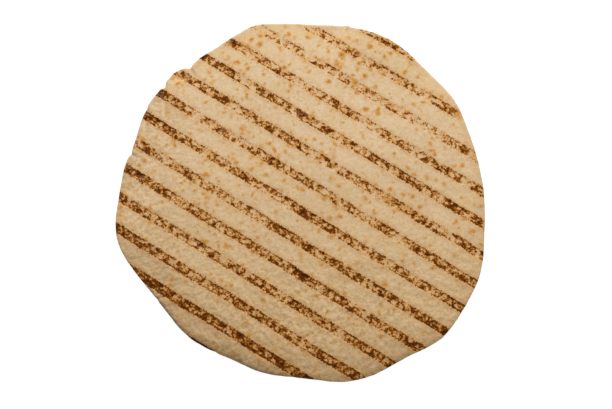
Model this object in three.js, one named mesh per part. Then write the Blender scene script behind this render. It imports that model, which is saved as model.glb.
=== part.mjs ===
import * as THREE from 'three';

// A lavash: one round, thin, soft flatbread lying flat, its outline uneven from rolling.
// Millimetres, +Z up. The origin is on the flat underside, below the middle of the bread.

// Driving sizes
const MEAN_RADIUS = 125;
const THICKNESS = 2.8;
const EDGE_THICKNESS = 1.5;
const EDGE_ROUNDING = 1.2;
const BORDER_WIDTH = 14;
const SETTLED_RADIUS = 92;

// How finely the round shape is divided
const SEGMENTS_AROUND = 144;
const SETTLED_RINGS = 2;
const LIP_RINGS = 3;
const EDGE_STEPS = 6;
const BORDER_RINGS = 4;
const CROWN_RINGS = 9;

const CRUST_COLOUR = 0xd2b184;
const CRUST_ROUGHNESS = 0.85;

// Bulges and dips of the rim, anticlockwise from +X. Each has its direction and its spread
// in degrees, how far it reaches out, and how high its lip curls off the table.
const RIM_FEATURES = [
  { at: 14, spread: 7, out: -0.9, lift: 0 },
  { at: 34, spread: 5, out: 1.6, lift: 0.3 },
  { at: 62, spread: 9, out: 3.8, lift: 1.3 },
  { at: 86, spread: 5, out: -1.2, lift: 0 },
  { at: 104, spread: 4, out: 2.2, lift: 0.8 },
  { at: 119, spread: 5, out: -2.6, lift: 0.2 },
  { at: 129, spread: 3, out: -3.6, lift: 0.3 },
  { at: 141, spread: 3, out: -1.6, lift: 1.4 },
  { at: 162, spread: 8, out: -4.6, lift: 0.6 },
  { at: 176, spread: 5, out: -1.2, lift: 0 },
  { at: 193, spread: 6, out: 2.8, lift: 1.3 },
  { at: 217, spread: 10, out: -6.0, lift: 0 },
  { at: 246, spread: 11, out: -6.2, lift: 0.2 },
  { at: 269, spread: 7, out: -3.4, lift: 0 },
  { at: 292, spread: 9, out: 3.8, lift: 0.9 },
  { at: 314, spread: 6, out: 3.6, lift: 0.4 },
  { at: 326, spread: 14, out: 7.4, lift: 1.5 },
  { at: 338, spread: 5, out: 1.2, lift: 0.2 },
];

// Long waves in the thickness: the heading of each in degrees, the length from crest to
// crest, and its height as a share of the thickness.
const THICKNESS_WAVES = [
  { heading: 20, length: 92, share: 0.07 },
  { heading: 105, length: 71, share: 0.06 },
  { heading: 152, length: 58, share: 0.05 },
];

// How much of a rim feature is felt in a direction: 1 at its middle, fading to 0 beside it
function nearness(angle, feature) {
  const apart = angle - THREE.MathUtils.degToRad(feature.at);
  const spread = THREE.MathUtils.degToRad(feature.spread);
  return Math.exp((Math.cos(apart) - 1) / spread ** 2);
}

// Distance from the middle to the rim
function rimRadius(angle) {
  return RIM_FEATURES.reduce((radius, f) => radius + f.out * nearness(angle, f), MEAN_RADIUS);
}

// Height of the lip above the table
function rimLift(angle) {
  return RIM_FEATURES.reduce((lift, f) => lift + f.lift * nearness(angle, f), 0);
}

// Thickness at a place, against the mean
function swelling(x, y) {
  let share = 1;
  for (const wave of THICKNESS_WAVES) {
    const heading = THREE.MathUtils.degToRad(wave.heading);
    const along = x * Math.cos(heading) + y * Math.sin(heading);
    share += wave.share * Math.sin((2 * Math.PI * along) / wave.length);
  }
  return share;
}

// Half of the cross-section: out along the underside, round the edge, up the sloping border
// and back over the crown to the middle
function crossSection() {
  const points = [];
  const edgeRadius = MEAN_RADIUS - EDGE_ROUNDING;
  const crownRadius = MEAN_RADIUS - BORDER_WIDTH;
  for (let ring = 0; ring < SETTLED_RINGS; ring += 1) {
    points.push(new THREE.Vector2((SETTLED_RADIUS * ring) / SETTLED_RINGS, 0));
  }
  for (let ring = 0; ring < LIP_RINGS; ring += 1) {
    const radius = THREE.MathUtils.lerp(SETTLED_RADIUS, edgeRadius, ring / LIP_RINGS);
    points.push(new THREE.Vector2(radius, 0));
  }
  for (let step = 0; step <= EDGE_STEPS; step += 1) {
    const turn = Math.PI * (step / EDGE_STEPS - 0.5);
    const radius = edgeRadius + EDGE_ROUNDING * Math.cos(turn);
    points.push(new THREE.Vector2(radius, (EDGE_THICKNESS / 2) * (1 + Math.sin(turn))));
  }
  for (let ring = 1; ring <= BORDER_RINGS; ring += 1) {
    const share = ring / BORDER_RINGS;
    const rise = Math.sin((share * Math.PI) / 2);
    const radius = THREE.MathUtils.lerp(edgeRadius, crownRadius, share);
    points.push(new THREE.Vector2(radius, THREE.MathUtils.lerp(EDGE_THICKNESS, THICKNESS, rise)));
  }
  for (let ring = CROWN_RINGS - 1; ring >= 0; ring -= 1) {
    points.push(new THREE.Vector2((crownRadius * ring) / CROWN_RINGS, THICKNESS));
  }
  return points;
}

// Moves the points of the round disc to the bread's own outline, thickness and curled lip
function makeUneven(geometry) {
  const position = geometry.attributes.position;
  const point = new THREE.Vector3();
  for (let index = 0; index < position.count; index += 1) {
    point.fromBufferAttribute(position, index);
    const angle = Math.atan2(point.y, point.x);
    const radius = Math.hypot(point.x, point.y);
    const curl = rimLift(angle) * THREE.MathUtils.smoothstep(radius, SETTLED_RADIUS, MEAN_RADIUS);
    const stretch = rimRadius(angle) / MEAN_RADIUS;
    const height = point.z * swelling(point.x, point.y) + curl;
    position.setXYZ(index, point.x * stretch, point.y * stretch, height);
  }
}

// Puts the middle of the bread's box over the origin
function centreOverOrigin(geometry) {
  geometry.computeBoundingBox();
  const middle = geometry.boundingBox.getCenter(new THREE.Vector3());
  geometry.translate(-middle.x, -middle.y, 0);
}

function makeLavash() {
  const geometry = new THREE.LatheGeometry(crossSection(), SEGMENTS_AROUND);
  geometry.rotateX(Math.PI / 2);
  makeUneven(geometry);
  centreOverOrigin(geometry);
  geometry.computeVertexNormals();
  const crust = new THREE.MeshStandardMaterial({
    color: CRUST_COLOUR,
    roughness: CRUST_ROUGHNESS,
    metalness: 0,
  });
  const lavash = new THREE.Mesh(geometry, crust);
  lavash.name = 'lavash';
  return lavash;
}

const group = new THREE.Group();
group.add(makeLavash());

export default group;
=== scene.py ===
import math
from collections import namedtuple

import bpy
import numpy as np
from bpy.props import FloatProperty, FloatVectorProperty, IntProperty, PointerProperty
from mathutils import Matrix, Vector, noise
from mathutils.bvhtree import BVHTree


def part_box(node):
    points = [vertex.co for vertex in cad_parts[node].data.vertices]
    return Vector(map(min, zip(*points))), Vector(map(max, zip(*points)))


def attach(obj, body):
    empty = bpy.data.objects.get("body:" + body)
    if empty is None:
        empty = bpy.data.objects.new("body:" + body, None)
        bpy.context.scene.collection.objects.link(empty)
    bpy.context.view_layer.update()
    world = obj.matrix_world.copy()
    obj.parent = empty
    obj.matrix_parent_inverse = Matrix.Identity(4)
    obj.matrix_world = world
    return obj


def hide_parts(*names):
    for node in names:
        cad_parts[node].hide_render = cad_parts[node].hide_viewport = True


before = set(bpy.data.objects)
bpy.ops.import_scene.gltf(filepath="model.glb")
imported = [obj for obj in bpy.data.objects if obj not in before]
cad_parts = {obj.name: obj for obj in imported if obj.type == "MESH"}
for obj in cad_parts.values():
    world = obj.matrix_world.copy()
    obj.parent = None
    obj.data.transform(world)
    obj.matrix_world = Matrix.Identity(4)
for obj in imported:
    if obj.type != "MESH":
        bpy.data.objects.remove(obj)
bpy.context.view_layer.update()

bl_info = {
    "name": "Grilled Lavash",
    "version": (1, 0, 0),
    "blender": (4, 5, 0),
    "location": "View3D > Sidebar > Lavash",
    "description": "Makes a round lavash flatbread with grill marks, and a plain studio around it",
    "category": "Add Mesh",
}

CAD_NODE = "lavash"
MM = 0.001

# How finely the bread is meshed
TOP_CELLS = 260
UNDER_CELLS = TOP_CELLS // 2
EDGE_STEPS = 8

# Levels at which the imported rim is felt, and how far off the probes start, in metres
PROBE_LEVELS = 24
PROBE_REACH = 0.3

# Name of the texture map, and the room of the bread's two faces in its unit square
TEXTURE_MAP = "OFBake"
TOP_MAP_RADIUS = 0.39
UNDER_MAP_RADIUS = 0.185
MAP_MARGIN = 0.004

# The floor's half width and its drop below the bread in metres, and the camera's sensor in millimetres
FLOOR_HALF_WIDTH = 12.0
FLOOR_DROP = 0.1 * MM
SENSOR_WIDTH = 36

# Nicks in the rim, anticlockwise from +X: direction and spread in degrees, depth in millimetres, below 0
# for a bump, and the heading in degrees and length in millimetres of the crease that runs in from each
Nick = namedtuple("Nick", "at spread depth heading length")
NICKS = (
    Nick(at=75, spread=1.2, depth=-0.8, heading=-120, length=6),
    Nick(at=129.7, spread=1.0, depth=1.8, heading=-62, length=11),
    Nick(at=140.3, spread=0.9, depth=1.5, heading=-90, length=30),
    Nick(at=149.5, spread=1.4, depth=0.5, heading=-92, length=28),
    Nick(at=165.0, spread=0.9, depth=0.9, heading=-25, length=9),
    Nick(at=215.8, spread=0.8, depth=0.5, heading=38, length=8),
    Nick(at=241.5, spread=0.8, depth=0.5, heading=64, length=8),
)

# Broad lobes of the rim, anticlockwise from +X: direction and spread in degrees, millimetres outward
Lobe = namedtuple("Lobe", "at spread reach")
LOBES = (
    Lobe(at=12, spread=12, reach=0.5),
    Lobe(at=32, spread=9, reach=0.5),
    Lobe(at=80, spread=9, reach=0.3),
    Lobe(at=122, spread=4, reach=-0.8),
    Lobe(at=134, spread=3.5, reach=0.65),
    Lobe(at=170, spread=4.5, reach=1.0),
    Lobe(at=209, spread=22, reach=-0.4),
    Lobe(at=223, spread=6, reach=-0.3),
    Lobe(at=249, spread=9, reach=-0.35),
    Lobe(at=283, spread=4, reach=0.4),
    Lobe(at=301, spread=10, reach=-0.55),
    Lobe(at=343, spread=8, reach=0.3),
)

# How the rim bends down, anticlockwise from +X: direction in degrees, width of the bend in millimetres,
# and the share of the bread's thickness that is lost at the rim
Bend = namedtuple("Bend", "at width loss")
BENDS = (
    Bend(at=0, width=2.0, loss=0.20),
    Bend(at=60, width=1.5, loss=0.10),
    Bend(at=140, width=1.5, loss=0.10),
    Bend(at=180, width=2.0, loss=0.24),
    Bend(at=215, width=2.0, loss=0.16),
    Bend(at=230, width=5.0, loss=0.45),
    Bend(at=246, width=10.0, loss=0.80),
    Bend(at=275, width=5.0, loss=0.36),
    Bend(at=310, width=3.0, loss=0.50),
    Bend(at=335, width=2.5, loss=0.35),
)

# Patches where the bread lay closer to the grill, press above 0, or further off it, press below 0. Their
# middles are given along and across the grill bars, and their lengths and widths too, in millimetres
Contact = namedtuple("Contact", "along across length width press")
CONTACTS = (
    Contact(15, -26, 28, 26, 0.09),
    Contact(-35, -55, 28, 30, -0.08),
    Contact(8, 60, 18, 38, -0.07),
    Contact(-30, 40, 20, 20, 0.08),
    Contact(45, 42, 20, 18, 0.06),
    Contact(90, 50, 40, 12, 0.08),
    Contact(-118, -10, 18, 28, 0.13),
    Contact(50, 90, 45, 12, -0.10),
    Contact(-60, 88, 35, 11, -0.04),
    Contact(100, 5, 30, 18, -0.05),
    Contact(-66, 55, 18, 22, -0.05),
    Contact(-95, 35, 14, 16, 0.06),
    Contact(-75, 0, 20, 20, -0.05),
    Contact(75, -64, 20, 12, -0.05),
    Contact(0, 125, 30, 8, 0.24),
    Contact(68, 88, 14, 8, -0.09),
    Contact(38, 69, 18, 8, -0.08),
    Contact(-94, 69, 11, 8, 0.18),
    Contact(8, 31, 9, 8, -0.12),
    Contact(-92, 31, 11, 8, 0.13),
    Contact(15, -45, 30, 8, 0.07),
    Contact(-92, -64, 10, 8, -0.10),
    Contact(88, -83, 12, 8, -0.08),
    Contact(-58, -98, 16, 14, -0.06),
    Contact(-97, 50, 9, 8, 0.20),
    Contact(-85, 88, 9, 8, -0.14),
    Contact(110, -45, 10, 8, 0.08),
    Contact(85, -45, 8, 8, -0.10),
    Contact(-6, -119, 13, 4, 0.35),
)


def from_srgb(red, green, blue):
    """Linear colour of an 8-bit screen colour."""
    shares = (red / 255, green / 255, blue / 255)
    return tuple(s / 12.92 if s <= 0.04045 else ((s + 0.055) / 1.055) ** 2.4 for s in shares)


def smooth_step(values, low, high):
    """0 below low, 1 above high, and an even curve between them."""
    share = np.clip((values - low) / (high - low), 0, 1)
    return share * share * (3 - 2 * share)


# Settings that a user would change

def length_setting(name, description, default, most, least=0.0):
    """A length, given in millimetres."""
    return FloatProperty(
        name=name, description=description, unit="LENGTH",
        default=default * MM, min=least * MM, max=most * MM)


def place_setting(name, description, default):
    """A place, given in metres."""
    return FloatVectorProperty(
        name=name, description=description, default=default, size=3, unit="LENGTH", subtype="TRANSLATION")


def angle_setting(name, description, default):
    """An angle, given in degrees."""
    return FloatProperty(name=name, description=description, default=math.radians(default), subtype="ANGLE")


def colour_setting(name, description, default):
    """A linear colour."""
    return FloatVectorProperty(
        name=name, description=description, default=default, size=3, min=0, max=1, subtype="COLOR")


class LavashShape(bpy.types.PropertyGroup):
    """Sizes of the bread's relief"""
    edge_rounding: length_setting(
        "Edge rounding", "How far the rounded edge reaches past the two faces", 0.7, most=4, least=0.2)
    droop_side: angle_setting(
        "Droop side", "Direction in which the rim droops most, anticlockwise from +X", 240)
    # The crust is browner towards this side, and painted shade darkens the band along its rim
    brown_and_shade_side: angle_setting(
        "Browner side", "Direction in which the crust is browner, anticlockwise from +X", 255)
    far_lift: length_setting(
        "Far lift", "How far the rim lifts off the table opposite to the droop", 0.65, most=10)
    edge_wander: length_setting(
        "Edge wander", "How far the outline strays in and out over a few millimetres", 0.22, most=2)
    groove_depth: length_setting(
        "Groove depth", "How deep the grill bars press into the upper face", 0.16, most=1)
    blister_height: length_setting(
        "Blister height", "How high the toasted blisters stand", 0.13, most=1)
    dimple_height: length_setting(
        "Dimple height", "Height of the fine dimples of the skin", 0.18, most=1)
    swell_height: length_setting(
        "Swell height", "Height of the soft swells between the dimples", 0.27, most=1)
    crease_height: length_setting(
        "Crease height", "Height of the creases that run in from the rim", 0.14, most=1)
    nick_crease_height: length_setting(
        "Nick crease height", "Height of the creases that run in from nicks in the rim", 0.34, most=1)
    blisters: IntProperty(
        name="Blisters", description="How many toasted blisters lie on each face",
        default=1450, min=0, max=4000)
    seed: IntProperty(
        name="Seed", description="Another seed scatters the blisters another way", default=7, min=0)


class LavashMarks(bpy.types.PropertyGroup):
    """Place and strength of the grill marks"""
    spacing: length_setting(
        "Bar spacing", "Distance from one grill bar to the next", 18.95, most=60, least=5)
    slant: angle_setting("Slant", "Turn of the bars, down towards +X", 31.75)
    offset: length_setting(
        "Bar offset", "Distance from the middle of the bread to the nearest bar below it", 7.19, most=60)
    half_width: length_setting(
        "Bar half width", "Half the width of a mark in the middle of the bread", 2.92, most=10, least=0.5)
    char_share: FloatProperty(
        name="Char share", description="Share of a mark in the middle of the bread that is charred",
        default=0.475, min=0, max=1, subtype="FACTOR")


class LavashColours(bpy.types.PropertyGroup):
    """Colours of the crust"""
    pale: colour_setting(
        "Pale crust", "Crust between the marks where it baked least", from_srgb(202, 181, 154))
    baked: colour_setting(
        "Baked crust", "Crust between the marks where it baked most", from_srgb(182, 149, 97))
    straw: colour_setting("Straw tint", "Yellower patches of the crust", from_srgb(194, 167, 114))
    blush: colour_setting("Blush tint", "Pinker patches of the crust", from_srgb(200, 166, 136))
    # Pores of the crust, and also painted shade in its dips and on one side of the creases
    pore_and_shade: colour_setting("Pore", "Pores and dips of the crust", from_srgb(142, 100, 44))
    # Drier crust along the rim, also painted shade where the rim turns down
    rim: colour_setting("Rim", "Drier crust along the rim", from_srgb(172, 140, 96))
    # Painted shade on the rounded edge, also used for the browner, partly shaded band along the near rim
    edge: colour_setting("Edge", "The rounded edge itself", from_srgb(134, 109, 78))
    # Painted shade on the edge where the rim droops, on the side turned away from the light
    droop_edge_shade: colour_setting("Drooping edge shade", "The edge where the rim droops", from_srgb(84, 66, 46))
    toast: colour_setting("Toasted blister", "Tops of the blisters", from_srgb(182, 129, 60))
    scorch: colour_setting("Scorch", "Light brown around the char", from_srgb(180, 133, 76))
    brown: colour_setting("Brown char", "Char that is not burnt through", from_srgb(138, 84, 28))
    dark: colour_setting("Dark char", "Char that is burnt through", from_srgb(92, 46, 4))
    darkest: colour_setting("Darkest char", "The most burnt places", from_srgb(60, 28, 3))
    # Grey ash on the char, with a painted sheen there too
    bloom: colour_setting("Ash bloom", "Grey bloom on a few places of the char", from_srgb(128, 98, 80))


class LavashStage(bpy.types.PropertyGroup):
    """Camera, light and floor"""
    camera_distance: length_setting(
        "Camera distance", "From the camera to the point that it looks at", 883.3, most=5000, least=100)
    camera_tilt: angle_setting("Camera tilt", "Turn of the camera away from straight down", 10.56)
    camera_aim: place_setting(
        "Camera aim", "Point on the bread that the camera looks at", (3.94 * MM, -4.60 * MM, 2.4 * MM))
    camera_lens: FloatProperty(
        name="Focal length", description="Focal length of the camera",
        default=76.5, min=10, unit="CAMERA")
    floor_colour: colour_setting("Floor", "Colour of the plain floor", (0.14, 0.14, 0.14))
    floor_glow: FloatProperty(
        name="Floor glow", description="Light that comes through the floor, as from a light table",
        default=0.95, min=0)
    window_place: place_setting("Window place", "Middle of the soft light", (0.131, 1.365, 1.085))
    window_size: length_setting("Window size", "Width of the soft light", 700, most=5000, least=50)
    window_power: FloatProperty(
        name="Window power", description="Power of the soft light", default=48.2, min=0, unit="POWER")
    window_tint: colour_setting("Window tint", "Colour of the soft light", (0.972, 0.965, 0.968))
    air_strength: FloatProperty(
        name="Air strength", description="Brightness of the even light all round", default=0.31, min=0)
    air_tint: colour_setting("Air tint", "Colour of the even light", (0.98, 0.975, 0.945))


# The bread's shape

class PackedBread:
    """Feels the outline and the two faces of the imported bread."""

    def __init__(self, node):
        mesh = node.data
        points = [vertex.co for vertex in mesh.vertices]
        faces = [tuple(polygon.vertices) for polygon in mesh.polygons]
        self.tree = BVHTree.FromPolygons(points, faces)
        self.low, self.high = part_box(node.name)

    def rim_radius(self, angles):
        """Distance from the middle to the rim in each direction."""
        levels = np.linspace(self.low.z, self.high.z, PROBE_LEVELS)
        radii = np.zeros(len(angles))
        for index, angle in enumerate(angles):
            outward = Vector((math.cos(angle), math.sin(angle), 0))
            for level in levels:
                start = outward * PROBE_REACH + Vector((0, 0, level))
                hit = self.tree.ray_cast(start, -outward)[0]
                if hit is not None:
                    radii[index] = max(radii[index], hit.xy.length)
        return radii

    def heights(self, places, from_above):
        """Height of the upper or the lower face at each place."""
        start_height = PROBE_REACH if from_above else -PROBE_REACH
        way = Vector((0, 0, -1 if from_above else 1))
        found = np.zeros(len(places))
        for index, (x, y) in enumerate(places):
            hit = self.tree.ray_cast(Vector((x, y, start_height)), way)[0]
            if hit is None:
                raise RuntimeError(f"the packed bread has no face at {x:.4f}, {y:.4f}")
            found[index] = hit.z
        return found


def disc_grid(cells):
    """Share of the radius and direction of each point of a square grid laid over a disc."""
    steps = np.linspace(-1, 1, cells + 1)
    s, t = np.meshgrid(steps, steps)
    wide = np.abs(s) > np.abs(t)
    radius = np.where(wide, s, t)
    safe = np.where(radius == 0, 1, radius)
    angle = np.where(wide, (math.pi / 4) * (t / safe), math.pi / 2 - (math.pi / 4) * (s / safe))
    angle = np.where(radius < 0, angle + math.pi, angle)
    return np.abs(radius), angle


def grid_border(cells):
    """Indices of a grid's outer points, anticlockwise from the lower left corner."""
    side = np.arange(cells)
    row = cells + 1
    lower = side
    right = cells + side * row
    upper = cells * row + cells - side
    left = (cells - side) * row
    return np.concatenate([lower, right, upper, left])


def grid_faces(cells, first, upward):
    """Four-sided faces of a grid whose points start at an index."""
    row = cells + 1
    j, i = np.meshgrid(np.arange(cells), np.arange(cells), indexing="ij")
    corner = first + (j * row + i).ravel()
    order = (0, 1, row + 1, row) if upward else (0, row, row + 1, 1)
    return np.stack([corner + step for step in order], axis=1)


def smooth_grid(heights, passes):
    """Softens a grid of heights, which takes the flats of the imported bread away."""
    for _ in range(passes):
        padded = np.pad(heights, 1, mode="edge")
        across = (padded[1:-1, :-2] + padded[1:-1, 1:-1] + padded[1:-1, 2:]) / 3
        padded = np.pad(across, 1, mode="edge")
        heights = (padded[:-2, 1:-1] + padded[1:-1, 1:-1] + padded[2:, 1:-1]) / 3
    return heights


def cloud(places, grain, octaves, layer):
    """Soft random heights, about -1 to 1, with features of one grain size."""
    return np.array([
        noise.fractal(Vector((x / grain, y / grain, layer)), 1.0, 2.0, octaves) for x, y in places
    ])


def turned(places, heading):
    """How far each place lies along a heading and to its left."""
    along = places[:, 0] * math.cos(heading) + places[:, 1] * math.sin(heading)
    across = places[:, 1] * math.cos(heading) - places[:, 0] * math.sin(heading)
    return along, across


def bar_distance(places, marks):
    """Distance of each place from the middle of the nearest grill bar."""
    across = turned(places, -marks.slant)[1]
    bars = (across + marks.offset) / marks.spacing
    return np.abs(bars - np.round(bars)) * marks.spacing


class Blisters:
    """Scattered toasted blisters: small ovals, most of them faint, and more of them towards the far rim."""

    LENGTH = 1.7 * MM
    LENGTH_SPREAD = 0.24
    SLIMMEST = 0.5
    STRENGTH_CURVE = (1.2, 1.7)
    EVEN_SHARE = 0.72
    CROWDED_SHARE = 0.28
    CROWD_TURN = 0.4
    FELT_LENGTHS = 3.0

    def __init__(self, shape, rim_at, layer):
        rng = np.random.default_rng(shape.seed + layer)
        places = []
        while len(places) < shape.blisters:
            share = math.sqrt(rng.uniform(0, 1))
            angle = rng.uniform(-math.pi, math.pi)
            radius = share * rim_at(angle)
            place = (radius * math.cos(angle), radius * math.sin(angle))
            towards_far_rim = share ** 2 * math.sin(angle + self.CROWD_TURN)
            if rng.uniform(0, 1) < self.EVEN_SHARE + self.CROWDED_SHARE * towards_far_rim:
                places.append(place)
        count = len(places)
        self.places = np.array(places)
        self.length = rng.lognormal(math.log(self.LENGTH), self.LENGTH_SPREAD, count)
        self.width = self.length * rng.uniform(self.SLIMMEST, 1.0, count)
        self.turn = rng.uniform(0, math.pi, count)
        self.strength = rng.beta(*self.STRENGTH_CURVE, count)

    def felt(self, places):
        """How strongly each place is blistered, 0 to 1."""
        total = np.zeros(len(places))
        each = zip(self.places, self.length, self.width, self.turn, self.strength)
        for middle, length, width, turn, strength in each:
            near = np.flatnonzero(np.abs(places - middle).max(axis=1) < self.FELT_LENGTHS * length)
            along, across = turned(places[near] - middle, turn)
            felt = strength * np.exp(-((along / length) ** 2 + (across / width) ** 2))
            total[near] = np.maximum(total[near], felt)
        return total


class BreadMesh:
    """Points, faces and measures of the bread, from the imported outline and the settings."""

    # Sizes of the relief's features, and of the bands along the rim
    DIMPLE_GRAIN = 3.0 * MM
    SWELL_GRAIN = 13 * MM
    CREASE_GRAIN = 5.5 * MM
    CREASE_LENGTH = 60 * MM
    WANDER_GRAIN = 6 * MM
    NICK_CREASE_WIDTH = 1.3 * MM
    RIM_INSET = 0.25 * MM
    LIFT_WIDTH = 14 * MM

    # Layers of the noise, so that no two reliefs are alike
    UPPER_LAYER = 0.5
    UNDER_LAYER = 20.5
    SWELLS_APART = 5
    WANDER_LAYER = 2.5

    # How strongly the skin is wrinkled and swells all over, and how much more in places
    WRINKLES = 0.45
    NEAR_WRINKLES = 1.65
    LEFT_WRINKLES = 1.3
    RIGHT_EASING = 0.15
    SWELLS = 0.40
    NEAR_SWELLS = 0.84

    # Distances from the middle, towards a side, over which the wrinkles and swells come up
    WRINKLED_NEAR = (-10 * MM, 95 * MM)
    WRINKLED_LEFT = (55 * MM, 110 * MM)
    EASED_RIGHT = (0, 80 * MM)
    SWOLLEN_NEAR = (-80 * MM, 80 * MM)

    # Ranges over which a feature comes up or fades: shares of the reach, of facing a side, of a crease's
    # length or of a bar's half width
    CREASED_REACH = (0.82, 1.0)
    BROWN_AND_SHADE_REACH = (0.74, 0.88)
    BROWN_AND_SHADE_FACING = (0.66, 0.88)
    DROOP_FACING = (0.4, 0.8)
    NICK_CREASE_FADING = (0.3, 1.0)
    NICK_CREASE_START = -0.2
    GROOVE_SIDE = (0.55, 1.15)

    SOFTENING_PASSES = 14
    DROOP_SHARPNESS = 8
    LIFT_SHARPNESS = 1.5

    def __init__(self, packed, shape, marks):
        self.packed = packed
        self.shape = shape
        self.marks = marks
        self.rim_angles = np.linspace(-math.pi, math.pi, 4 * TOP_CELLS + 1)
        self.rim_radii = self.wandering_rim()
        self.make_faces_and_edge()

    def wandering_rim(self):
        """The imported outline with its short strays, lobes and nicks."""
        angles = self.rim_angles[:-1]
        radii = self.packed.rim_radius(angles)
        ring = np.stack([radii * np.cos(angles), radii * np.sin(angles)], axis=1)
        radii = (radii + np.roll(radii, 1) + np.roll(radii, -1)) / 3
        strays = cloud(ring, self.WANDER_GRAIN, octaves=3, layer=self.WANDER_LAYER)
        radii = radii + self.shape.edge_wander * strays - self.RIM_INSET
        for lobe in LOBES:
            radii = radii + lobe.reach * MM * self.beside(angles, lobe)
        for nick in NICKS:
            radii = radii - nick.depth * MM * self.beside(angles, nick)
        return np.append(radii, radii[0])

    @staticmethod
    def beside(angles, feature):
        """How much of a lobe or a nick is felt in each direction, 0 to 1."""
        apart = (np.degrees(angles) - feature.at + 180) % 360 - 180
        return np.exp(-(apart / feature.spread) ** 2)

    def rim_at(self, angles):
        """Distance from the middle to the rim in each direction."""
        wrapped = (angles + math.pi) % (2 * math.pi) - math.pi
        return np.interp(wrapped, self.rim_angles, self.rim_radii)

    def face_points(self, cells, from_above):
        """Points of one face with their share of the way to the rim and their blistering."""
        reach, angle = disc_grid(cells)
        reach, angle = reach.ravel(), angle.ravel()
        radius = reach * (self.rim_at(angle) - self.shape.edge_rounding)
        places = np.stack([radius * np.cos(angle), radius * np.sin(angle)], axis=1)
        from_rim = self.rim_at(angle) - radius
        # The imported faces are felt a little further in, clear of their own rim
        inside = places * (1 - self.shape.edge_rounding / 2 / radius.max())
        heights = self.soft_heights(inside, cells, False)
        if from_above:
            thickness = self.soft_heights(inside, cells, True) - heights
            # Where the rim droops it is as thick as the middle, before the taper thins it
            crown = np.median(thickness)
            thickness = thickness + np.maximum(crown - thickness, 0) * self.drooping(angle)
            heights = heights + thickness * self.taper(angle, from_rim)
        heights = heights + self.far_lift(angle, from_rim)
        blistering = Blisters(self.shape, self.rim_at, 0 if from_above else 1).felt(places)
        heights = heights + self.relief(places, angle, radius, reach, blistering, from_above)
        if not from_above:
            heights = np.maximum(heights, 0)
        return np.column_stack([places, heights]), reach, blistering

    def soft_heights(self, places, cells, from_above):
        """Heights of a packed face over a grid, softened."""
        heights = self.packed.heights(places, from_above).reshape(cells + 1, cells + 1)
        return smooth_grid(heights, self.SOFTENING_PASSES).ravel()

    @staticmethod
    def facing(angle, side):
        """How much a direction faces a side, 0 to 1."""
        return 0.5 + 0.5 * np.cos(angle - side)

    def drooping(self, angle):
        """How much the rim droops in a direction, 0 to 1."""
        return self.facing(angle, self.shape.droop_side) ** self.DROOP_SHARPNESS

    def brown_and_shade_band(self, angle, reach):
        """The band along the near rim where the crust is browner and painted shade darkens it, 0 to 1."""
        facing = self.facing(angle, self.shape.brown_and_shade_side)
        return smooth_step(facing, *self.BROWN_AND_SHADE_FACING) * smooth_step(reach, *self.BROWN_AND_SHADE_REACH)

    def wrinkling(self, places):
        """How strongly the skin is wrinkled: most towards the near side, and more on the left."""
        near = smooth_step(-places[:, 1], *self.WRINKLED_NEAR)
        left = smooth_step(-places[:, 0], *self.WRINKLED_LEFT)
        right = smooth_step(places[:, 0], *self.EASED_RIGHT)
        near_wrinkles = self.NEAR_WRINKLES * near * (1 - self.RIGHT_EASING * right)
        return self.WRINKLES + near_wrinkles + self.LEFT_WRINKLES * left * (1 - near)

    @staticmethod
    def taper(angle, from_rim):
        """Share of the full thickness that is left at a distance from the rim."""
        sides = [bend.at for bend in BENDS]
        width = MM * np.interp(np.degrees(angle), sides, [bend.width for bend in BENDS], period=360)
        loss = np.interp(np.degrees(angle), sides, [bend.loss for bend in BENDS], period=360)
        inward = np.clip(from_rim / width, 0, 1)
        return 1 - loss * (1 - inward) ** 2

    def far_lift(self, angle, from_rim):
        """Rise of both faces where the rim lifts off the table."""
        inward = np.clip(from_rim / self.LIFT_WIDTH, 0, 1)
        lifting = 1 - self.facing(angle, self.shape.droop_side) ** self.LIFT_SHARPNESS
        return self.shape.far_lift * lifting * (1 - np.sin(inward * math.pi / 2))

    def nick_creases(self, places):
        """The creases that run in from the nicks: above 0 on one side of each, below 0 on the other."""
        total = np.zeros(len(places))
        for nick in NICKS:
            at = math.radians(nick.at)
            start = self.rim_at(np.array([at])) * (math.cos(at), math.sin(at))
            along, across = turned(places - start, math.radians(nick.heading))
            inward = along / (nick.length * MM)
            sideways = across / self.NICK_CREASE_WIDTH
            fading = 1 - smooth_step(inward, *self.NICK_CREASE_FADING)
            fading = np.where(inward > self.NICK_CREASE_START, fading, 0)
            total += sideways * np.exp(0.5 - sideways ** 2) * fading
        return total

    def pressing(self, places):
        """How much harder than usual each place was pressed onto the grill."""
        along, across = turned(places, -self.marks.slant)
        total = np.zeros(len(places))
        for patch in CONTACTS:
            lengthways = (along / MM - patch.along) / patch.length
            sideways = (across / MM - patch.across) / patch.width
            total += patch.press * np.exp(-lengthways ** 2 - sideways ** 2)
        return total

    def rim_creases(self, angle, radius, reach):
        """Height of the fine creases that run in from all round the rim."""
        spokes = self.rim_radii.mean() / self.CREASE_GRAIN
        creases = np.array([
            noise.noise(Vector((math.cos(a) * spokes, math.sin(a) * spokes, r / self.CREASE_LENGTH)))
            for a, r in zip(angle, radius)
        ])
        return self.shape.crease_height * creases * smooth_step(reach, *self.CREASED_REACH)

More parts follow.
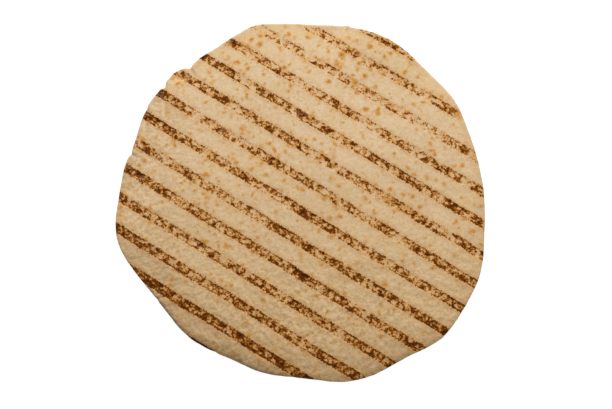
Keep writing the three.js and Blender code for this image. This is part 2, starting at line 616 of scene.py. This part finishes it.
    def relief(self, places, angle, radius, reach, blistering, from_above):
        """Height of the skin's relief over the plain face."""
        shape = self.shape
        layer = self.UPPER_LAYER if from_above else self.UNDER_LAYER
        dimpling = shape.dimple_height * self.wrinkling(places)
        dimples = dimpling * cloud(places, self.DIMPLE_GRAIN, octaves=2, layer=layer)
        swelling = self.SWELLS + self.NEAR_SWELLS * smooth_step(-places[:, 1], *self.SWOLLEN_NEAR)
        swells = cloud(places, self.SWELL_GRAIN, octaves=2, layer=layer + self.SWELLS_APART)
        swells = shape.swell_height * swelling * swells
        creases = self.rim_creases(angle, radius, reach)
        creases = creases + shape.nick_crease_height * self.nick_creases(places)
        rise = dimples + swells + creases + shape.blister_height * blistering
        if not from_above:
            return np.abs(rise)
        bars = bar_distance(places, self.marks) / self.marks.half_width
        return rise - shape.groove_depth * (1 - smooth_step(bars, *self.GROOVE_SIDE))

    def make_faces_and_edge(self):
        """Both faces, the rounded edge between them, and the measures of every point."""
        top, top_reach, top_blisters = self.face_points(TOP_CELLS, True)
        under, under_reach, under_blisters = self.face_points(UNDER_CELLS, False)
        top_border = grid_border(TOP_CELLS)
        under_border = grid_border(UNDER_CELLS)
        rings = self.edge_rings(top[top_border], self.doubled(under[under_border]))
        self.points = np.concatenate([top, under, *rings])
        around = len(top_border)
        ring_indices = np.arange(len(top) + len(under), len(self.points)).reshape(-1, around)
        self.join_faces([top_border, *ring_indices], under_border + len(top), len(top))
        arcs = np.repeat(np.arange(1, EDGE_STEPS) / EDGE_STEPS, around)
        self.arc = np.concatenate([np.zeros(len(top)), np.ones(len(under)), arcs])
        reach = np.concatenate([top_reach, under_reach, np.ones(len(arcs))])
        blistering = np.concatenate([top_blisters, under_blisters, np.zeros(len(arcs))])
        self.measures = self.measured(reach, blistering)

    def edge_rings(self, upper, lower):
        """Rings of points round the edge, from next to the upper border to next to the lower one."""
        outward = upper[:, :2] / np.linalg.norm(upper[:, :2], axis=1)[:, None]
        rings = []
        for step in range(1, EDGE_STEPS):
            turn = math.pi * (0.5 - step / EDGE_STEPS)
            ring = (upper + lower) / 2
            ring[:, :2] += outward * self.shape.edge_rounding * math.cos(turn)
            ring[:, 2] += (upper[:, 2] - lower[:, 2]) / 2 * math.sin(turn)
            rings.append(ring)
        return rings

    def measured(self, reach, blistering):
        """The measures of every point that the crust reads, by name."""
        angles = np.arctan2(self.points[:, 1], self.points[:, 0])
        return {
            "reach": reach,
            "blister": blistering,
            "upside": 0.5 + 0.5 * np.cos(math.pi * self.arc),
            "brown_and_shade_band": self.brown_and_shade_band(angles, reach),
            # Where the rim droops: the mask of the painted edge shade
            "droop": smooth_step(self.drooping(angles), *self.DROOP_FACING),
            "wrinkles": self.wrinkling(self.points),
            "press": self.pressing(self.points),
            "crease": self.nick_creases(self.points[:, :2]),
        }

    @staticmethod
    def doubled(border):
        """A border with a point added in the middle of each of its steps."""
        halfway = (border + np.roll(border, -1, axis=0)) / 2
        return np.stack([border, halfway], axis=1).reshape(-1, 3)

    def join_faces(self, rings, under_border, under_first):
        """Joins the two faces and the rings of the edge into one closed skin."""
        quads = [grid_faces(TOP_CELLS, 0, True), grid_faces(UNDER_CELLS, under_first, False)]
        on_top = [np.ones(TOP_CELLS ** 2, bool), np.zeros(UNDER_CELLS ** 2, bool)]
        for step, (upper, lower) in enumerate(zip(rings, rings[1:])):
            quads.append(np.stack([upper, lower, np.roll(lower, -1), np.roll(upper, -1)], axis=1))
            on_top.append(np.full(len(upper), step < EDGE_STEPS // 2))
        last = rings[-1].reshape(-1, 2)
        after = np.roll(last[:, 0], -1)
        next_under = np.roll(under_border, -1)
        triangles = np.concatenate([
            np.stack([last[:, 0], under_border, last[:, 1]], axis=1),
            np.stack([last[:, 1], under_border, next_under], axis=1),
            np.stack([last[:, 1], next_under, after], axis=1),
        ])
        self.quads = np.concatenate(quads)
        self.triangles = triangles
        self.on_top = np.concatenate([*on_top, np.zeros(len(triangles), bool)])

    def texture_map(self):
        """Places of every point in the texture map, for the upper island and the lower one."""
        radius = np.linalg.norm(self.points[:, :2], axis=1)
        outward = self.points[:, :2] / np.maximum(radius, 1e-9)[:, None]
        flat = self.rim_at(np.arctan2(outward[:, 1], outward[:, 0])) - self.shape.edge_rounding
        edge_length = math.pi * self.shape.edge_rounding
        on_edge = (self.arc > 0) & (self.arc < 1)
        top_radius = np.where(on_edge, flat + edge_length * self.arc, radius)
        under_radius = np.where(on_edge, flat + edge_length * (1 - self.arc), radius)
        widest = self.rim_radii.max() + edge_length
        top_at = TOP_MAP_RADIUS + MAP_MARGIN
        under_at = 1 - UNDER_MAP_RADIUS - MAP_MARGIN
        top = outward * top_radius[:, None] / widest * TOP_MAP_RADIUS + (top_at, 1 - top_at)
        under = outward * under_radius[:, None] / widest * UNDER_MAP_RADIUS * (-1, 1)
        return top, under + (under_at, 1 - under_at)

    def build(self, name):
        """A Blender mesh with its texture map and the measures that the crust reads."""
        mesh = bpy.data.meshes.new(name)
        faces = self.quads.tolist() + self.triangles.tolist()
        mesh.from_pydata(self.points.tolist(), [], faces)
        corners = np.concatenate([self.quads.ravel(), self.triangles.ravel()])
        sides = np.concatenate([np.full(len(self.quads), 4), np.full(len(self.triangles), 3)])
        top, under = self.texture_map()
        corner_on_top = np.repeat(self.on_top, sides)
        places = np.where(corner_on_top[:, None], top[corners], under[corners])
        layer = mesh.uv_layers.new(name=TEXTURE_MAP)
        layer.data.foreach_set("uv", places.astype(np.float32).ravel())
        for label, values in self.measures.items():
            attribute = mesh.attributes.new(label, "FLOAT", "POINT")
            attribute.data.foreach_set("value", values.astype(np.float32))
        mesh.polygons.foreach_set("use_smooth", np.ones(len(faces), bool))
        mesh.update()
        if mesh.validate(verbose=True):
            raise RuntimeError("the bread's mesh had faults")
        return mesh


# The crust's material

class Measure:
    """A number that varies over the bread: a node's output, and the sums that make new nodes from it."""

    def __init__(self, sketch, socket):
        self.sketch = sketch
        self.socket = socket

    def __add__(self, other):
        return self.sketch.maths("ADD", self, other)

    def __sub__(self, other):
        return self.sketch.maths("SUBTRACT", self, other)

    def __mul__(self, other):
        return self.sketch.maths("MULTIPLY", self, other)

    def __truediv__(self, other):
        return self.sketch.maths("DIVIDE", self, other)

    def larger(self, other):
        """The larger of two measures."""
        return self.sketch.maths("MAXIMUM", self, other)

    def swing(self, most):
        """Goes up and down between 0 and a number as the measure grows."""
        return self.sketch.maths("PINGPONG", self, most)

    def step(self, low, high, start=0.0, end=1.0):
        """Goes from start, where the measure is at low, to end, where it is at high, on an even curve."""
        made = self.sketch.node("ShaderNodeMapRange", interpolation_type="SMOOTHSTEP")
        for socket, value in zip(made.inputs, (self, low, high, start, end)):
            self.sketch.feed(socket, value)
        return Measure(self.sketch, made.outputs[0])


class NodeSketch:
    """Adds and joins the nodes of one material. Its places and colours are output sockets."""

    def __init__(self, material):
        material.use_nodes = True
        self.tree = material.node_tree
        self.tree.nodes.clear()

    def node(self, kind, **settings):
        """A new node itself."""
        made = self.tree.nodes.new(kind)
        for name, value in settings.items():
            setattr(made, name, value)
        return made

    def feed(self, socket, value):
        """Links a socket to a measure or an output, or sets it to a number or a colour."""
        if isinstance(value, Measure):
            self.tree.links.new(value.socket, socket)
        elif isinstance(value, bpy.types.NodeSocket):
            self.tree.links.new(value, socket)
        elif socket.type == "RGBA":
            socket.default_value = (*value, 1.0)
        else:
            socket.default_value = value

    def maths(self, operation, *values):
        """A measure worked out from other measures and numbers."""
        made = self.node("ShaderNodeMath", operation=operation)
        for socket, value in zip(made.inputs, values):
            self.feed(socket, value)
        return Measure(self, made.outputs[0])

    def attribute(self, name):
        """A measure that the mesh holds."""
        return Measure(self, self.node("ShaderNodeAttribute", attribute_name=name).outputs["Fac"])

    def vector(self, operation, first, second):
        """Places worked out from other places."""
        made = self.node("ShaderNodeVectorMath", operation=operation)
        self.feed(made.inputs[0], first)
        self.feed(made.inputs["Scale"] if operation == "SCALE" else made.inputs[1], second)
        return made.outputs[0]

    def mapped(self, places, **settings):
        """Places turned or scaled by a mapping."""
        made = self.node("ShaderNodeMapping", vector_type="POINT")
        self.feed(made.inputs["Vector"], places)
        for name, value in settings.items():
            made.inputs[name].default_value = value
        return made.outputs[0]

    def parts(self, places):
        """The three measures of a place, by their letters."""
        made = self.node("ShaderNodeSeparateXYZ")
        self.feed(made.inputs[0], places)
        return {output.name: Measure(self, output) for output in made.outputs}

    def noise_texture(self, places, grain):
        """The outputs of a noise of one grain."""
        if grain.shift:
            places = self.vector("ADD", places, grain.shift)
        made = self.node("ShaderNodeTexNoise", noise_dimensions="3D")
        self.feed(made.inputs["Vector"], places)
        made.inputs["Scale"].default_value = 1 / grain.size
        made.inputs["Detail"].default_value = grain.detail
        made.inputs["Roughness"].default_value = grain.roughness
        return made.outputs

    def soft_noise(self, places, grain):
        """Noise about 0."""
        return Measure(self, self.noise_texture(places, grain)["Fac"]) - 0.5

    def cells(self, places, size, feature):
        """Distance from the middle or the wall of random cells of a size in millimetres."""
        made = self.node("ShaderNodeTexVoronoi", feature=feature, voronoi_dimensions="2D")
        self.feed(made.inputs["Vector"], places)
        made.inputs["Scale"].default_value = 1 / size
        return Measure(self, made.outputs["Distance"])

    def mixed(self, share, first, second):
        """A share of the second colour over the first."""
        made = self.node("ShaderNodeMix", data_type="RGBA")
        self.feed(made.inputs[0], share)
        self.feed(made.inputs[6], first)
        self.feed(made.inputs[7], second)
        return made.outputs[2]


# Grain of a layer of the crust: size in millimetres, octaves of finer detail, how rough those are, and a
# shift that keeps it apart from a layer of like grain
Grain = namedtuple("Grain", "size detail roughness shift", defaults=(2, 0.5, None))


class CrustSketch(NodeSketch):
    """The grilled crust: pale baked skin, toasted blisters and charred bars.

    Places are in millimetres. Depth is below 0 on the near half of the bread and above 0 on the far half,
    along and across follow the grill bars, and reach goes from 0 in the middle to 1 at the rim. A layer's
    steps say where it starts and where it is full, and then how strong it is at both.
    """

    SKIN = Grain(2.2, 2, 0.62)
    CLOUDS = Grain(20)
    MOTTLE = Grain(3.4, 4, 0.65)
    SPECKLE = Grain(1.1, 2, 0.6)
    STRAW = Grain(3.6, 3, 0.6)
    BLUSH = Grain(4.5, 3, 0.6, shift=(300, 0, 0))
    FRECKLES = Grain(2.2, 2, 0.6, shift=(0, 300, 0))
    PORES = Grain(1.5, 2, 0.6)
    DRY_RIM = Grain(14)
    BLISTER_BORDER = Grain(1.6, 2, 0.6)
    BAR_WOBBLE = Grain(30, 1)
    BAR_BORDER = Grain(2.6, 2, 0.6)
    FLECKS = Grain(3.5, 3, 0.65)
    PATCHES = Grain(7, 1)
    SPATTER = Grain(1.7, 1)
    WARP = Grain(2.6)
    ASH_AND_SHEEN = Grain(6, 3, 0.6)
    DULLNESS = Grain(1.8)

    # Sizes of the pimples and of the lattice of char
    PIMPLE_SIZE = 1.5
    LATTICE_SIZE = 3.6
    LATTICE_STRETCH = (0.72, 1, 1)
    WARP_REACH = 3.5

    # Colours that the char goes through, and the depths of char at which each starts and is full
    CHAR_STAGES = (
        ("scorch", 0.10, 0.40),
        ("brown", 0.35, 0.62),
        ("dark", 0.58, 0.85),
        ("darkest", 0.95, 1.25),
    )

    GLOSS = 0.03
    BUMP_STRENGTH = 0.68
    BUMP_HEIGHT = 0.30 * MM

    def __init__(self, material, marks, colours):
        super().__init__(material)
        self.marks = marks
        self.colours = colours
        place = self.node("ShaderNodeTexCoord").outputs["Object"]
        self.places = self.vector("SCALE", place, 1 / MM)
        self.depth = self.parts(self.places)["Y"]
        self.bar_places = self.mapped(self.places, Rotation=(0, 0, marks.slant))
        bar_parts = self.parts(self.bar_places)
        self.along = bar_parts["X"]
        self.across = bar_parts["Y"]
        self.far = self.depth.step(30, 100)
        self.reach = self.attribute("reach")
        self.upside = self.attribute("upside")
        self.wrinkles = self.attribute("wrinkles")
        self.pimples = self.cells(self.places, self.PIMPLE_SIZE, "F1").step(0.60, 0.05)
        self.skin_grain = self.grained(self.SKIN)
        # Toast browner towards the near side, partly browning and partly painted shade
        self.toast = self.mixed(self.depth.step(40, -90, 0, 0.27), colours.toast, colours.brown)

    def grained(self, grain):
        """Noise about 0, of one grain, over the bread."""
        return self.soft_noise(self.places, grain)

    def baked(self):
        """Plain skin: browner towards the near side and softly mottled, with tinted patches and freckles."""
        colours = self.colours
        mottling = self.grained(self.CLOUDS) * 0.6 + self.grained(self.MOTTLE) * 1.5
        mottling = mottling + self.grained(self.SPECKLE) * 1.3
        mottling = mottling * self.depth.step(-100, 100, 0.45, 0.80)
        heat = self.depth.step(125, -155) * 0.43 + 0.33
        far_border = self.far * self.reach.step(0.86, 0.95, 0, 0.15)
        skin = self.mixed(heat + far_border + mottling, colours.pale, colours.baked)
        straw = (self.far * 0.62 + 0.32) * self.grained(self.STRAW).step(-0.01, 0.15)
        skin = self.mixed(straw, skin, colours.straw)
        blush = (self.far * 0.05 + 0.32) * self.grained(self.BLUSH).step(0.0, 0.25)
        skin = self.mixed(blush, skin, colours.blush)
        freckles = self.grained(self.FRECKLES).step(0.07, 0.23, 0, 0.52)
        freckles = self.depth.step(100, 30, 0.55, 1.0) * freckles
        return self.mixed(freckles, skin, self.toast)

    def wrinkled(self, skin):
        """Skin with dark pores and pale specks, painted shade in its dips, a painted highlight on its tops,
        and painted shade and highlight on the sides of the creases.
        """
        pore_and_shade, pale = self.colours.pore_and_shade, self.colours.pale
        fine_grain = self.grained(self.PORES)
        strength = (self.wrinkles * 0.08 + 0.16) * (self.far * -0.35 + 1.0)
        skin = self.mixed(strength * fine_grain.step(-0.04, -0.20), skin, pore_and_shade)
        skin = self.mixed(strength * fine_grain.step(0.04, 0.20), skin, pale)
        # Painted shade in the low places of the skin's grain
        dips = self.skin_grain.step(0.05, -0.20, 0, 0.15)
        skin = self.mixed(self.wrinkles * dips, skin, pore_and_shade)
        # Painted highlight on the high places of the skin's grain
        tops = self.skin_grain.step(-0.02, 0.20, 0, 0.15)
        skin = self.mixed(self.wrinkles * tops, skin, pale)
        crease = self.attribute("crease")
        # Painted shade on the raised side of each crease and a painted highlight on its lower side
        skin = self.mixed(crease.step(0.1, 0.6, 0, 0.40), skin, pore_and_shade)
        return self.mixed(crease.step(-0.1, -0.6, 0, 0.65), skin, pale)

    def rimmed(self, skin):
        """Skin with its drier rim and browner band, both partly painted shade, painted shade on the rounded
        edge and where the rim droops, and a painted highlight on the pale far lip.
        """
        colours = self.colours
        # A drier, darker rim, partly painted shade where the rim turns down, stronger on the near half
        near_rim = self.reach + self.grained(self.DRY_RIM) * 0.16
        dry_and_shaded_rim = near_rim.step(0.945, 1.0) * (self.far * -0.16 + 0.32)
        skin = self.mixed(dry_and_shaded_rim, skin, colours.rim)
        # Browner crust and painted shade in the band along the near rim
        skin = self.mixed(self.attribute("brown_and_shade_band") * 0.28, skin, colours.edge)
        # Painted shade on the rounded edge all round
        round_edge = self.upside.swing(0.5).step(0.0, 0.4)
        skin = self.mixed(round_edge * 0.8, skin, colours.edge)
        last_of_rim = self.reach.step(0.985, 1.0)
        # Painted shade on the last of the rim and on the rounded edge where the rim droops
        droop_shade = self.attribute("droop") * (last_of_rim * 0.45 + round_edge * 0.35)
        skin = self.mixed(droop_shade, skin, colours.droop_edge_shade)
        # Painted highlight on the last of the rim on the far side, in the pale crust colour
        return self.mixed(self.far * (last_of_rim * 0.3), skin, colours.pale)

    def toasted(self, skin):
        """Toasted tops of the blisters, with ragged borders."""
        felt = self.attribute("blister") * (self.depth * 0.0015 + 0.96)
        toasting = felt * (self.grained(self.BLISTER_BORDER) * 2.6 + 1.0)
        skin = self.mixed(toasting.step(0.0, 0.71), skin, self.toast)
        skin = self.mixed(toasting.step(0.50, 1.10, 0, 0.40), skin, self.colours.brown)
        return self.mixed(felt.step(0.82, 0.92, 0, 0.85), skin, self.colours.brown)

    def bar_nearness(self):
        """Distance from the middle of a bar over its half width there."""
        marks = self.marks
        wobble = self.grained(self.BAR_WOBBLE) * 1.8
        distance = (self.across + marks.offset / MM + wobble).swing(marks.spacing / MM / 2)
        ragged = self.grained(self.BAR_BORDER) * 1.7
        grazing = self.across.step(-108, -116, 0, -0.3)
        half_width = self.across * -0.0016 + marks.half_width / MM + ragged + grazing
        return distance / half_width

    def bar_heat(self):
        """How hot each place got: hotter at the near and the farthest bars and at the bars' ends."""
        across, reach = self.across, self.reach
        heat = across * -0.0010 + across.step(60, 95, 0, -0.10)
        heat = heat + across.step(-70, -100, 0, 0.045) + across.step(96, 126, 0, 0.30)
        ends = reach.step(0.76, 1.0, 0, 0.18) * across.step(90, 40)
        lean = self.along * 0.0003
        clear_lip = reach.step(0.982, 0.994, 0, -0.5) * across.step(96, 106)
        return heat + ends + lean + clear_lip + self.attribute("press") + self.marks.char_share

    def char_depth(self, bar):
        """How deeply each place is charred, on a scale where 0 is pale and 1 is burnt through."""
        stretched = self.mapped(self.bar_places, Scale=self.LATTICE_STRETCH)
        astray = self.noise_texture(self.places, self.WARP)["Color"]
        astray = self.vector("SUBTRACT", astray, (0.5, 0.5, 0.5))
        bent = self.vector("ADD", stretched, self.vector("SCALE", astray, self.WARP_REACH))
        walls = self.cells(bent, self.LATTICE_SIZE, "DISTANCE_TO_EDGE").step(0.34, 0.02)
        rails = bar.step(0.42, 0.86, 0, 0.95)
        lattice = walls.larger(rails) * 0.36 - 0.21
        pimples = self.pimples * 0.36 - 0.13
        flecks = self.grained(self.FLECKS) * self.across.step(-60, -100, 3.2, 2.7)
        patches = self.soft_noise(stretched, self.PATCHES) * self.across.step(10, -80, 1.42, 0.80)
        return self.bar_heat() + lattice + pimples + flecks + patches

    def charred(self, skin):
        """Charred bars over the skin, and how charred each place is."""
        colours = self.colours
        bar = self.bar_nearness()
        in_bar = (bar - self.pimples * 0.16).step(1.05, 0.82)
        spatter = self.pimples.step(0.55, 0.85) * bar.step(1.7, 1.0)
        spatter = spatter * self.grained(self.SPATTER).step(0.08, 0.16)
        in_bar = in_bar.larger(spatter)
        depth = self.char_depth(bar) + self.upside.step(0.6, 0.3, 0, -0.35)
        halo = bar.step(2.3, 0.8, 0, 0.5) * depth.step(-0.1, 0.7)
        skin = self.mixed(halo, skin, colours.scorch)
        skin = self.mixed(in_bar * 0.22, skin, colours.scorch)
        for colour, low, high in self.CHAR_STAGES:
            skin = self.mixed(depth.step(low, high) * in_bar, skin, getattr(colours, colour))
        # Grey ash and painted sheen on a few places of the char
        ash_and_sheen = self.grained(self.ASH_AND_SHEEN) - self.along * 0.0008
        bloom = ash_and_sheen.step(0.15, 0.25, 0, 0.5) * depth.step(0.35, 0.7)
        skin = self.mixed(bloom * in_bar, skin, colours.bloom)
        return skin, depth.step(0.3, 0.9) * in_bar

    def finish(self):
        """The shader, with the layers of colour, the dullness and the fine bumps of the skin."""
        skin = self.rimmed(self.wrinkled(self.baked()))
        skin, char = self.charred(self.toasted(skin))
        shader = self.node("ShaderNodeBsdfPrincipled")
        self.feed(shader.inputs["Base Color"], skin)
        dullness = self.grained(self.DULLNESS) * 0.25 + 0.82 - char * 0.10
        self.feed(shader.inputs["Roughness"], dullness)
        shader.inputs["Specular IOR Level"].default_value = self.GLOSS
        bump = self.node("ShaderNodeBump")
        bump.inputs["Strength"].default_value = self.BUMP_STRENGTH
        bump.inputs["Distance"].default_value = self.BUMP_HEIGHT
        height = self.skin_grain * self.wrinkles + self.pimples * 0.10 - char * 0.25
        self.feed(bump.inputs["Height"], height)
        self.feed(shader.inputs["Normal"], bump.outputs[0])
        output = self.node("ShaderNodeOutputMaterial")
        self.feed(output.inputs["Surface"], shader.outputs[0])


def make_crust(marks, colours):
    """The grilled crust as a material."""
    material = bpy.data.materials.new("grilled_crust")
    CrustSketch(material, marks, colours).finish()
    return material


# The stage

def add_object(name, data):
    """A new object in the scene."""
    made = bpy.data.objects.new(name, data)
    bpy.context.scene.collection.objects.link(made)
    return made


def aim(thing, target):
    """Turns a camera or a light so that it looks at a point."""
    thing.rotation_euler = (target - thing.location).to_track_quat("-Z", "Y").to_euler()


def make_floor(stage):
    """A wide plain floor that glows like a light table."""
    half = FLOOR_HALF_WIDTH
    mesh = bpy.data.meshes.new("studio_floor")
    corners = [(-half, -half, 0), (half, -half, 0), (half, half, 0), (-half, half, 0)]
    mesh.from_pydata(corners, [], [(0, 1, 2, 3)])
    floor = add_object("studio_floor", mesh)
    floor.location.z = -FLOOR_DROP
    material = bpy.data.materials.new("floor_paint")
    material.use_nodes = True
    paint = material.node_tree.nodes["Principled BSDF"]
    paint.inputs["Base Color"].default_value = (*stage.floor_colour, 1)
    paint.inputs["Emission Color"].default_value = (1, 1, 1, 1)
    paint.inputs["Emission Strength"].default_value = stage.floor_glow
    paint.inputs["Roughness"].default_value = 0.9
    paint.inputs["Specular IOR Level"].default_value = 0.1
    mesh.materials.append(material)


def make_camera(stage):
    """The camera, tilted a little off straight down."""
    camera = add_object("viewpoint", bpy.data.cameras.new("viewpoint"))
    camera.data.sensor_width = SENSOR_WIDTH
    camera.data.lens = stage.camera_lens
    target = Vector(stage.camera_aim)
    tilt = stage.camera_tilt
    camera.location = target + stage.camera_distance * Vector((0, -math.sin(tilt), math.cos(tilt)))
    aim(camera, target)
    bpy.context.scene.camera = camera


def make_window(stage):
    """A soft round light on the far side of the bread."""
    light = bpy.data.lights.new("window", "AREA")
    light.shape = "DISK"
    light.size = stage.window_size
    light.energy = stage.window_power
    light.color = stage.window_tint
    window = add_object("window", light)
    window.location = stage.window_place
    aim(window, Vector((0, 0, 0)))


def make_air(stage):
    """Even light from all round."""
    world = bpy.data.worlds.new("studio_air")
    world.use_nodes = True
    air = world.node_tree.nodes["Background"]
    air.inputs["Color"].default_value = (*stage.air_tint, 1)
    air.inputs["Strength"].default_value = stage.air_strength
    bpy.context.scene.world = world
    bpy.context.scene.view_settings.view_transform = "Standard"


# Operators, panel and registration

class LAVASH_OT_make_bread(bpy.types.Operator):
    """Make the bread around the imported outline"""
    bl_idname = "lavash.make_bread"
    bl_label = "Make Bread"
    bl_options = {"REGISTER", "UNDO"}

    def execute(self, context):
        scene = context.scene
        packed = PackedBread(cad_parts[CAD_NODE])
        mesh = BreadMesh(packed, scene.lavash_shape, scene.lavash_marks).build("lavash_bread")
        mesh.materials.append(make_crust(scene.lavash_marks, scene.lavash_colours))
        bread = add_object("lavash_bread", mesh)
        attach(bread, "root")
        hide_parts(CAD_NODE)
        return {"FINISHED"}


class LAVASH_OT_make_stage(bpy.types.Operator):
    """Make the floor, the light and the camera"""
    bl_idname = "lavash.make_stage"
    bl_label = "Make Stage"
    bl_options = {"REGISTER", "UNDO"}

    def execute(self, context):
        stage = context.scene.lavash_stage
        make_floor(stage)
        make_camera(stage)
        make_window(stage)
        make_air(stage)
        return {"FINISHED"}


class LAVASH_PT_panel(bpy.types.Panel):
    """Settings and steps of the grilled lavash"""
    bl_idname = "LAVASH_PT_panel"
    bl_label = "Grilled Lavash"
    bl_space_type = "VIEW_3D"
    bl_region_type = "UI"
    bl_category = "Lavash"

    def draw(self, context):
        scene = context.scene
        self.draw_step(scene, LAVASH_OT_make_bread, "lavash_shape", "lavash_marks", "lavash_colours")
        self.draw_step(scene, LAVASH_OT_make_stage, "lavash_stage")

    def draw_step(self, scene, step, *groups):
        """A box with a step's settings and its button."""
        box = self.layout.box()
        for group in groups:
            settings = getattr(scene, group)
            for name in settings.__annotations__:
                box.prop(settings, name)
        box.operator(step.bl_idname)


SETTINGS = {
    "lavash_shape": LavashShape,
    "lavash_marks": LavashMarks,
    "lavash_colours": LavashColours,
    "lavash_stage": LavashStage,
}
CLASSES = (*SETTINGS.values(), LAVASH_OT_make_bread, LAVASH_OT_make_stage, LAVASH_PT_panel)


def register():
    for cls in CLASSES:
        bpy.utils.register_class(cls)
    for name, cls in SETTINGS.items():
        setattr(bpy.types.Scene, name, PointerProperty(type=cls))


def unregister():
    for name in SETTINGS:
        delattr(bpy.types.Scene, name)
    for cls in reversed(CLASSES):
        bpy.utils.unregister_class(cls)


def main():
    """Makes the bread and the stage."""
    register()
    bpy.ops.lavash.make_bread()
    bpy.ops.lavash.make_stage()


if __name__ == "__main__":
    main()
